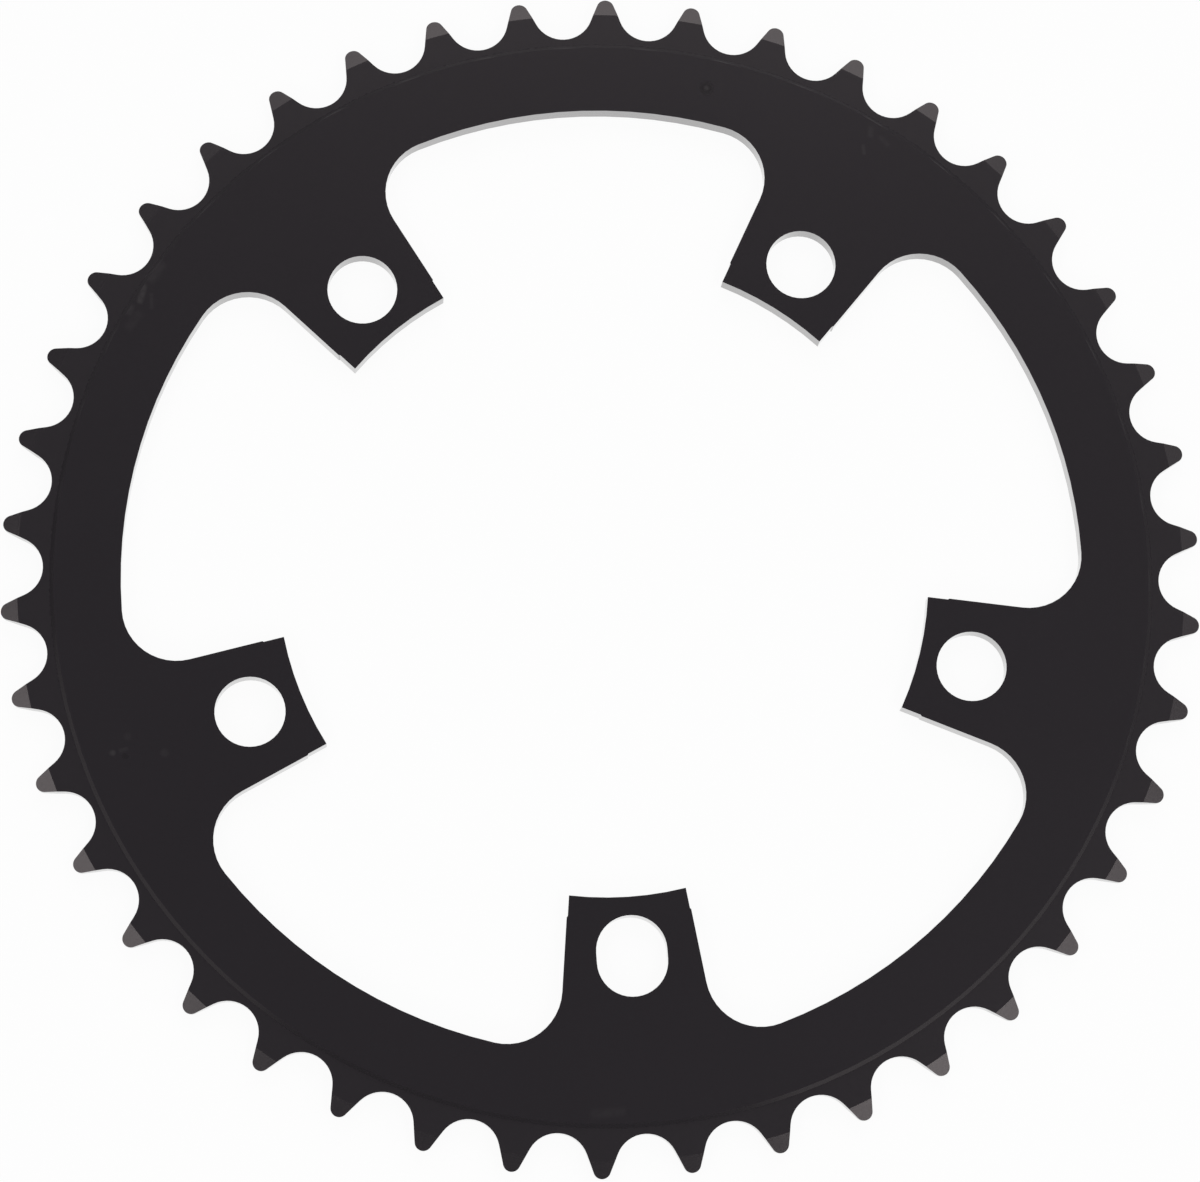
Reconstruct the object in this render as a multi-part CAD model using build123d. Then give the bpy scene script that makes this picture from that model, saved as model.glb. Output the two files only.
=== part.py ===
from build123d import *
import os
from math import cos, hypot, pi, radians, sin, tan

# Bicycle chainring: one aluminium plate, turned to its section and cut to teeth, windows and holes.
# It lies on its back face with the crank's axis along +Z, and the slotted bolt hole points to -Y.
# Lengths are in millimetres and angles in degrees.

# Chain and teeth
TEETH = 42
CHAIN_PITCH = 12.7
ROLLER_DIAMETER = 7.75
SEAT_CLEARANCE = 0.6  # how much larger the radius of a roller's seat is than the roller's
FLANK_ANGLE = 21.0  # between a tooth's straight flank and its middle line
TIP_ROUND = 1.25

# Section of the plate
BODY_THICKNESS = 3.0
TOOTH_THICKNESS = 2.0
TIP_THICKNESS = 0.6
BEVEL_LENGTH = 2.5  # from the tooth's tip inwards, on both faces
ROOT_BAND = 1.0  # flat strip between the roots and the foot of the step
STEP_RUN = 0.55  # radial width of the slope from that strip up to the body's face

# Windows
RIM_DEPTH = 11.25  # from the roots to the windows' outer edge
WINDOW_CORNER = 7.9

# Tabs and bolt holes
TABS = 5
BOLT_CIRCLE = 110.0
BOLT_HOLE = 10.2
SLOT_TRAVEL = 1.5  # how far the slotted hole runs outwards from the bolt circle
TAB_WIDTH = 19.3  # at the bolt circle
TAB_TAPER = 7.4  # of each side, narrowing inwards
TAB_END_WALL = 2.65  # between a bolt hole and the hollow end of its tab
LIP_LENGTH = 2.2  # end of a tab, a little narrower than the rest
LIP_INSET = 0.15  # on each side

# What follows from those sizes
pitch_radius = CHAIN_PITCH / (2 * sin(pi / TEETH))
root_radius = pitch_radius - ROLLER_DIAMETER / 2
seat_radius = ROLLER_DIAMETER / 2 + SEAT_CLEARANCE
window_radius = root_radius - RIM_DEPTH
bolt_radius = BOLT_CIRCLE / 2
tab_end_radius = bolt_radius - BOLT_HOLE / 2 - TAB_END_WALL
tooth_step = 360 / TEETH
tab_step = 360 / TABS
slot_direction = -90


def polar(radius, angle):
    """Point at a radius and an angle about the crank's axis."""
    return Vector(radius * cos(radians(angle)), radius * sin(radians(angle)))


def mirrored(point):
    """The same point on the other side of the +X axis."""
    return Vector(point.X, -point.Y)


# One tooth lies on the +X axis. Its flank is tangent to the roller's seat beside it and to
# the round of its tip, so one normal gives the ends of the flank on both arcs.
flank_normal = polar(1, 90 - FLANK_ANGLE)
seat_centre = polar(root_radius + seat_radius, tooth_step / 2)
flank_foot = seat_centre - flank_normal * seat_radius
tip_centre = Vector((flank_foot.dot(flank_normal) - TIP_ROUND) / flank_normal.X, 0)
flank_top = tip_centre + flank_normal * TIP_ROUND
tip_radius = tip_centre.X + TIP_ROUND


def toothed_outline():
    """Face inside the outline of all the teeth, with a seat on the slot's middle line."""
    next_foot = mirrored(flank_foot).rotate(Axis.Z, tooth_step)
    next_top = mirrored(flank_top).rotate(Axis.Z, tooth_step)
    tip = ThreePointArc(mirrored(flank_top), Vector(tip_radius, 0), flank_top)
    flank = Line(flank_top, flank_foot)
    seat = ThreePointArc(flank_foot, polar(root_radius, tooth_step / 2), next_foot)
    next_flank = Line(next_foot, next_top)
    edges = []
    for tooth in range(TEETH):
        turn = Rot(Z=slot_direction + (tooth + 0.5) * tooth_step)
        edges += [turn * edge for edge in (tip, flank, seat, next_flank)]
    return make_face(edges)


def tab_outline():
    """Face of one tab on the +X axis, from its hollow end to the rim."""

    def half_width(x):
        return TAB_WIDTH / 2 + (x - bolt_radius) * tan(radians(TAB_TAPER))

    inner = tab_end_radius - TAB_WIDTH / 2
    lip = tab_end_radius + LIP_LENGTH
    shoulder = lip + LIP_INSET
    side = [
        Vector(inner, half_width(inner) - LIP_INSET),
        Vector(lip, half_width(lip) - LIP_INSET),
        Vector(shoulder, half_width(shoulder)),
        Vector(root_radius, half_width(root_radius)),
    ]
    other_side = [mirrored(point) for point in reversed(side)]
    return make_face(Polyline(side + other_side, close=True)) - Circle(tab_end_radius)


def open_middle():
    """Face of the open centre and the windows between the tabs, with round window corners."""
    opening = Rot(Z=slot_direction) * Circle(window_radius)
    for tab in range(TABS):
        opening -= Rot(Z=slot_direction + tab * tab_step) * tab_outline()
    corners = opening.vertices().group_by(lambda corner: hypot(corner.X, corner.Y))[-1]
    return fillet(corners, WINDOW_CORNER)


def bolt_holes():
    """Faces of the bolt holes: one slotted along its tab, the others round."""
    slot = Pos(X=bolt_radius + SLOT_TRAVEL / 2) * SlotCenterToCenter(SLOT_TRAVEL, BOLT_HOLE)
    holes = Rot(Z=slot_direction) * slot
    for tab in range(1, TABS):
        holes += Rot(Z=slot_direction + tab * tab_step) * Pos(X=bolt_radius) * Circle(BOLT_HOLE / 2)
    return holes


def turned_section():
    """Solid of revolution: body faces, steps down to the teeth, and the bevels of their tips."""
    middle = BODY_THICKNESS / 2
    bevel_depth = (TOOTH_THICKNESS - TIP_THICKNESS) / 2
    edge_beyond_tip = TIP_THICKNESS / 2 * BEVEL_LENGTH / bevel_depth
    foot = root_radius - ROOT_BAND
    front = [
        (0, BODY_THICKNESS),
        (foot - STEP_RUN, BODY_THICKNESS),
        (foot, middle + TOOTH_THICKNESS / 2),
        (tip_radius - BEVEL_LENGTH, middle + TOOTH_THICKNESS / 2),
    ]
    back = [(radius, BODY_THICKNESS - height) for radius, height in reversed(front)]
    outline = front + [(tip_radius + edge_beyond_tip, middle)] + back
    return revolve(make_face(Plane.XZ * Polyline(outline, close=True)), Axis.Z)


# The plan is cut through plate thicker than the section, so that the section alone sets every height.
plan = toothed_outline() - open_middle() - bolt_holes()
chainring = extrude(plan, 2 * BODY_THICKNESS, both=True) & turned_section()
chainring.label = "chainring"

os.makedirs("parts", exist_ok=True)
export_step(chainring, "parts/chainring.step")
print("tip diameter", round(2 * tip_radius, 3), "root diameter", round(2 * root_radius, 3))
print("window diameter", round(2 * window_radius, 3), "volume", round(chainring.volume, 1))
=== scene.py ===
import bpy
from math import cos, hypot, radians, sin
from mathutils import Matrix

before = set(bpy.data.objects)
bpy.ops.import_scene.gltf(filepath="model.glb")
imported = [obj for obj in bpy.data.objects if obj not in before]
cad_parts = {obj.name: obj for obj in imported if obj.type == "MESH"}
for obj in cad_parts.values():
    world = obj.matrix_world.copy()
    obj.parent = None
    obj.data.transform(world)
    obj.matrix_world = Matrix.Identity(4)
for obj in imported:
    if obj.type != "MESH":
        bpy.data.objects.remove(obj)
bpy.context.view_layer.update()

# The chainring: one plate of aluminium, turned to its section, milled to its teeth, windows and holes,
# blasted to a fine satin and anodised black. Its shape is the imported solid, which only gets its finish here.
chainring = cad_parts["chainring"]
anodised = bpy.data.materials.new("satin_black_anodising")
anodised.use_nodes = True
nodes = anodised.node_tree.nodes
links = anodised.node_tree.links
skin = nodes["Principled BSDF"]
skin.inputs["Metallic"].default_value = 0.0
skin.inputs["IOR"].default_value = 1.6
skin.inputs["Specular Tint"].default_value = (1.0, 0.905, 0.9, 1.0)
skin.inputs["Coat Roughness"].default_value = 0.04
skin.inputs["Coat IOR"].default_value = 1.8


def plug(value, socket):
    """Feeds a socket from another node's output, or sets it to a number, a colour or a vector."""
    if isinstance(value, bpy.types.NodeSocket):
        links.new(value, socket)
    elif value is not None:
        socket.default_value = value


def maths(operation, first, second=None):
    """A sum, product, largest value or other plain operation."""
    node = nodes.new("ShaderNodeMath")
    node.operation = operation
    plug(first, node.inputs[0])
    plug(second, node.inputs[1])
    return node.outputs["Value"]


def vector_maths(operation, first, second=None):
    """The same on vectors; a length, a distance or a dot product comes out as a number."""
    node = nodes.new("ShaderNodeVectorMath")
    node.operation = operation
    plug(first, node.inputs[0])
    plug(second, node.inputs[1])
    return node.outputs["Value" if operation in ("LENGTH", "DISTANCE", "DOT_PRODUCT") else "Vector"]


def ramp(value, low, high, bottom=0.0, top=1.0):
    """A smooth change from bottom to top while the value goes from low to high."""
    node = nodes.new("ShaderNodeMapRange")
    node.interpolation_type = "SMOOTHSTEP"
    plug(value, node.inputs["Value"])
    plug(low, node.inputs["From Min"])
    plug(high, node.inputs["From Max"])
    plug(bottom, node.inputs["To Min"])
    plug(top, node.inputs["To Max"])
    return node.outputs["Result"]


def clouds(place, per_mm, detail, roughness=0.5):
    """Noise with so many features per millimetre, about 0.5 on average."""
    node = nodes.new("ShaderNodeTexNoise")
    plug(place, node.inputs["Vector"])
    plug(per_mm, node.inputs["Scale"])
    plug(detail, node.inputs["Detail"])
    plug(roughness, node.inputs["Roughness"])
    return node.outputs["Fac"]


def colour_mix(share, first, second):
    """A share of the second colour over the first."""
    node = nodes.new("ShaderNodeMix")
    node.data_type = "RGBA"
    plug(share, node.inputs["Factor"])
    plug(first, node.inputs["A"])
    plug(second, node.inputs["B"])
    return node.outputs["Result"]


# Where a point lies, in millimetres, and which of the ring's surfaces it is on.
step_foot = 80.1
nearly_flat, flat = 0.97, 0.99
coordinates = nodes.new("ShaderNodeTexCoord")
place = vector_maths("MULTIPLY", coordinates.outputs["Object"], (1000.0, 1000.0, 1000.0))
in_plan = vector_maths("MULTIPLY", place, (1.0, 1.0, 0.0))
radius = vector_maths("LENGTH", in_plan)
facing = nodes.new("ShaderNodeSeparateXYZ")
plug(coordinates.outputs["Normal"], facing.inputs["Vector"])
upright = maths("ABSOLUTE", facing.outputs["Z"])
on_walls = ramp(upright, 0.5, 0.2)
past_step = ramp(radius, step_foot - 0.2, step_foot + 0.2)
on_tooth_band = maths("MULTIPLY", past_step, ramp(upright, nearly_flat, flat))
on_front = ramp(facing.outputs["Z"], nearly_flat, flat)

# Dye that took a little unevenly, over fine grain from the blasting.
deep_dye = (0.0183, 0.0161, 0.0198, 1.0)
thin_dye = (0.0206, 0.018, 0.0221, 1.0)
grain = clouds(place, 2.6, 2.0)
black_dye = colour_mix(clouds(place, 0.045, 3.0), deep_dye, thin_dye)


# Marks of handling on the front: rubbed streaks along the step, pale specks, and a dimple in a dark ring of
# painted shade.
def streak(start, end, width, strength):
    """A mark between two places in the plan, so many millimetres wide, that fades to its sides and ends."""
    along_x, along_y = end[0] - start[0], end[1] - start[1]
    length = hypot(along_x, along_y)
    middle = ((start[0] + end[0]) / 2, (start[1] + end[1]) / 2, 0.0)
    offset = vector_maths("SUBTRACT", in_plan, middle)
    lengthwise = vector_maths("DOT_PRODUCT", offset, (along_x / length, along_y / length, 0.0))
    sidewise = vector_maths("DOT_PRODUCT", offset, (-along_y / length, along_x / length, 0.0))
    end_fade = width * 0.4
    inside_ends = ramp(maths("ABSOLUTE", lengthwise), length / 2 + end_fade, length / 2 - end_fade)
    inside_sides = ramp(maths("ABSOLUTE", sidewise), width * 0.9, width * 0.1)
    return maths("MULTIPLY", maths("MULTIPLY", inside_ends, inside_sides), strength)


def speck(x, y, size, strength):
    """A round mark so many millimetres across."""
    away = vector_maths("DISTANCE", in_plan, (x, y, 0.0))
    return ramp(away, size * 0.75, size * 0.2, 0.0, strength)


def together(marks):
    """Several marks as one, on the front only."""
    total, *others = marks
    for mark in others:
        total = maths("MAXIMUM", total, mark)
    return maths("MULTIPLY", total, on_front)


rubbed = together([
    streak((-61.3, 50.4), (-63.3, 47.6), 1.5, 0.45),
    streak((-64.0, 47.2), (-64.9, 44.4), 0.8, 1.0),
    streak((-66.0, 44.2), (-66.6, 42.8), 0.9, 0.55),
    streak((-63.1, 45.8), (-63.2, 43.4), 0.5, 0.35),
    streak((-64.8, 43.0), (-66.9, 40.6), 1.2, 0.25),
    streak((44.5, 65.0), (44.2, 63.3), 0.8, 0.4),
    streak((43.0, 62.3), (43.1, 60.7), 0.5, 0.5),
    streak((45.6, 63.4), (46.8, 61.8), 0.7, 0.3),
    streak((-71.3, -21.5), (-70.0, -21.2), 0.5, 0.45),
    streak((-7.5, -77.9), (-2.6, -77.8), 1.2, 0.3),
    speck(-72.26, -21.7, 0.85, 0.95),
    speck(-64.83, -22.18, 1.2, 0.35),
    speck(-70.0, -19.5, 1.1, 0.3),
])
dimple_x, dimple_y = 20.47, 72.29
dimple_floor = together([speck(dimple_x, dimple_y, 0.75, 1.0)])
# Painted shade: a dark ring for the unmodelled slopes of the dimple, and a painted shadow beside one speck.
painted_shade_mask = together([speck(dimple_x, dimple_y, 1.9, 0.6), speck(-70.45, -22.3, 0.9, 0.35)])
painted_shade_colour = (0.006, 0.0053, 0.0066, 1.0)
worn_dye = (0.041, 0.0375, 0.041, 1.0)
# A lighter colour at the dimple's centre.
dimple_centre_colour = (0.031, 0.0285, 0.031, 1.0)
patchy = ramp(clouds(place, 1.1, 3.0, 0.6), 0.3, 0.6, 0.55, 1.0)
marked = colour_mix(painted_shade_mask, black_dye, painted_shade_colour)
marked = colour_mix(maths("MULTIPLY", rubbed, patchy), marked, worn_dye)
marked = colour_mix(dimple_floor, marked, dimple_centre_colour)
plug(marked, skin.inputs["Base Color"])

# The cutter's fine marks stand upright on the walls, and the lathe's run round the faces, a third of a
# millimetre apart.
mark_depth = 0.0000025
cutter_marks = clouds(in_plan, 3.0, 1.0)
lathe_lines = maths("SINE", maths("MULTIPLY", radius, 18.0))
tool_marks = nodes.new("ShaderNodeMix")
plug(on_walls, tool_marks.inputs["Factor"])
plug(maths("MULTIPLY", lathe_lines, 0.03), tool_marks.inputs["A"])
plug(cutter_marks, tool_marks.inputs["B"])
surface = maths("ADD", tool_marks.outputs["Result"], maths("MULTIPLY", grain, 0.6))
relief = nodes.new("ShaderNodeBump")
relief.inputs["Strength"].default_value = 1.0
relief.inputs["Distance"].default_value = mark_depth
plug(surface, relief.inputs["Height"])
plug(relief.outputs["Normal"], skin.inputs["Normal"])

# The tooth band is a little duller than the faces, and the walls, smooth from the cutter, seal to a gloss.
wall_gloss, band_dullness = -0.15, 0.037
satin = ramp(grain, 0.3, 0.7, 0.24, 0.26)
roughness = maths("ADD", satin, maths("MULTIPLY", on_walls, wall_gloss))
roughness = maths("ADD", roughness, maths("MULTIPLY", on_tooth_band, band_dullness))
plug(roughness, skin.inputs["Roughness"])
plug(on_walls, skin.inputs["Coat Weight"])

chainring.data.materials.clear()
chainring.data.materials.append(anodised)

# The floor: a plain sheet of white paper that the ring lies on. It glows white to the camera and, close to
# the ring, in reflections. A small share that the camera sees stays plain paint and keeps the soft shadow.
glowing_share = 0.94
glow_far_away = 0.15
bpy.ops.object.select_all(action="DESELECT")
bpy.ops.mesh.primitive_plane_add(size=12.0)
floor = bpy.context.object
floor.name = "floor"
paper = bpy.data.materials.new("white_paper")
paper.use_nodes = True
nodes = paper.node_tree.nodes
links = paper.node_tree.links
nodes.remove(nodes["Principled BSDF"])
paint = nodes.new("ShaderNodeBsdfDiffuse")
paint.inputs["Color"].default_value = (0.97, 0.97, 0.97, 1.0)
glow = nodes.new("ShaderNodeEmission")
rays = nodes.new("ShaderNodeLightPath")
sheet = nodes.new("ShaderNodeTexCoord")
from_middle = vector_maths("LENGTH", sheet.outputs["Object"])
under_ring = ramp(from_middle, 0.088, 0.1, 1.0, glow_far_away)
plug(maths("MAXIMUM", rays.outputs["Is Camera Ray"], under_ring), glow.inputs["Strength"])
to_camera = maths("MULTIPLY", rays.outputs["Is Camera Ray"], glowing_share)
mirrored = maths("MAXIMUM", rays.outputs["Is Glossy Ray"], rays.outputs["Is Transmission Ray"])
blend = nodes.new("ShaderNodeMixShader")
plug(maths("MAXIMUM", to_camera, mirrored), blend.inputs["Fac"])
links.new(paint.outputs["BSDF"], blend.inputs[1])
links.new(glow.outputs["Emission"], blend.inputs[2])
links.new(blend.outputs["Shader"], nodes["Material Output"].inputs["Surface"])
floor.data.materials.append(paper)

# The light: a dim room, paler behind the ring and in a band at half height. Soft boxes behind the ring and on
# both sides show in the bevels of the teeth, low pale cards show in the step, one more card fills the gap
# between two boxes, and a box on the camera's side lights the plain faces.
overhead, horizon_near, horizon_behind, pale_band = 0.085, 0.1, 0.4, 0.55
room = bpy.data.worlds.new("pale_room")
bpy.context.scene.world = room
room.use_nodes = True
nodes = room.node_tree.nodes
links = room.node_tree.links
direction = nodes.new("ShaderNodeTexCoord")
split = nodes.new("ShaderNodeSeparateXYZ")
plug(direction.outputs["Generated"], split.inputs["Vector"])
up = split.outputs["Z"]
far_side = vector_maths("DOT_PRODUCT", direction.outputs["Generated"], (0.42, 0.91, 0.0))
horizon = ramp(far_side, -0.05, 0.45, horizon_near, horizon_behind)
level = ramp(up, 0.1, 0.95, horizon, overhead)
half_height = maths("MULTIPLY", ramp(up, 0.4, 0.47), ramp(up, 0.67, 0.6))
level = maths("ADD", level, maths("MULTIPLY", half_height, pale_band))
nodes["Background"].inputs["Color"].default_value = (1.0, 1.0, 1.0, 1.0)
plug(level, nodes["Background"].inputs["Strength"])


def soft_box(name, azimuth, tilt, width, height, watts):
    """A lamp 1 m from the ring, so many degrees round from +X and down from overhead, that faces the ring."""
    round_z, down = radians(azimuth), radians(tilt)
    where = (sin(down) * cos(round_z), sin(down) * sin(round_z), cos(down))
    bpy.ops.object.light_add(type="AREA", location=where, rotation=(0.0, down, round_z))
    lamp = bpy.context.object
    lamp.name = name
    lamp.data.shape = "RECTANGLE"
    lamp.data.size = height
    lamp.data.size_y = width
    lamp.data.energy = watts
    lamp.visible_camera = False


soft_box("lamp_behind", 80.0, 51.2, 0.81, 0.87, 3.0)
soft_box("lamp_left", 188.7, 35.3, 0.59, 0.29, 1.28)
soft_box("lamp_right", 328.5, 31.6, 0.57, 0.28, 1.66)
soft_box("card_left", 200.0, 79.9, 0.9, 0.41, 0.37)
soft_box("card_right", 316.8, 71.2, 1.03, 0.6, 1.06)
soft_box("card_between", 17.0, 43.0, 0.5, 0.3, 0.2)
soft_box("lamp_in_front", 252.0, 50.0, 1.2, 0.34, 1.6)

# The camera: a long lens about 0.67 m away and almost straight above the ring, a little towards the slotted
# hole, so that the ring fills the picture.
bpy.ops.object.camera_add(
    location=(-0.0418135, -0.1272223, 0.6576345),
    rotation=(radians(10.99430), radians(-2.79558), radians(-4.12282)),
)
camera = bpy.context.object
camera.data.sensor_width = 36.0
camera.data.lens = 138.156
camera.data.clip_start = 0.05
camera.data.clip_end = 50.0
bpy.context.scene.camera = camera
bpy.context.scene.view_settings.view_transform = "Standard"
